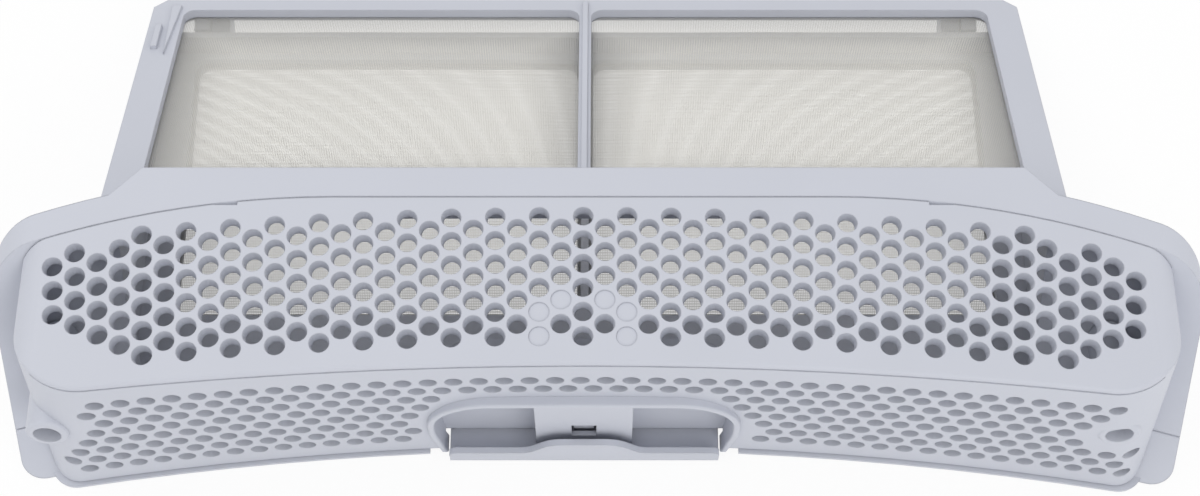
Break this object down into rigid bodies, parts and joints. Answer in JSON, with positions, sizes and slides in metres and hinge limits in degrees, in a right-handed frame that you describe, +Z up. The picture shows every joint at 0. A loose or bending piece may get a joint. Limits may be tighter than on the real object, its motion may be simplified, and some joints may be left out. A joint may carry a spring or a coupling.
{
  "type": "tumble dryer lint filter",
  "caption": "Folding tumble dryer lint filter with a perforated curved hood, a handle arch with a latch and two hinged mesh leaves.",
  "frame": {"origin": "middle of the underside of the closed filter's bounding box, as it lies flat on its lower leaf", "axes": "+X along the hood towards its longer end, +Y from the hood towards the hinge end of the leaves, +Z up from the lower leaf to the hood's top"},
  "size_m": [0.349, 0.165, 0.067],
  "materials": {
    "grey_plastic": "fine matte moulding",
    "mesh_cloth": "fine woven mesh",
    "screw_steel": "plated"
  },
  "bodies": {
    "lower_leaf": {"lower_frame": "grey_plastic", "lower_mesh_left": "mesh_cloth", "lower_mesh_right": "mesh_cloth"},
    "upper_leaf": {"upper_frame": "grey_plastic", "hood": "grey_plastic", "latch_block": "grey_plastic", "upper_mesh_left": "mesh_cloth", "upper_mesh_right": "mesh_cloth", "hood_screw_left": "screw_steel", "hood_screw_right": "screw_steel"},
    "latch": {"latch_lever": "grey_plastic"}
  },
  "joints": [
    {"name": "leaf_hinge", "type": "hinge", "parent": "lower_leaf", "child": "upper_leaf", "pos_m": [-0.004, 0.07604, 0.0065], "axis": [-1, 0, 0], "range_deg": [0, 100]},
    {"name": "latch_squeeze", "type": "hinge", "parent": "lower_leaf", "child": "latch", "pos_m": [-0.004, -0.05956, 0.0025], "axis": [-1, 0, 0], "range_deg": [0, 4], "stiffness_Nm_per_rad": 0.25}
  ]
}
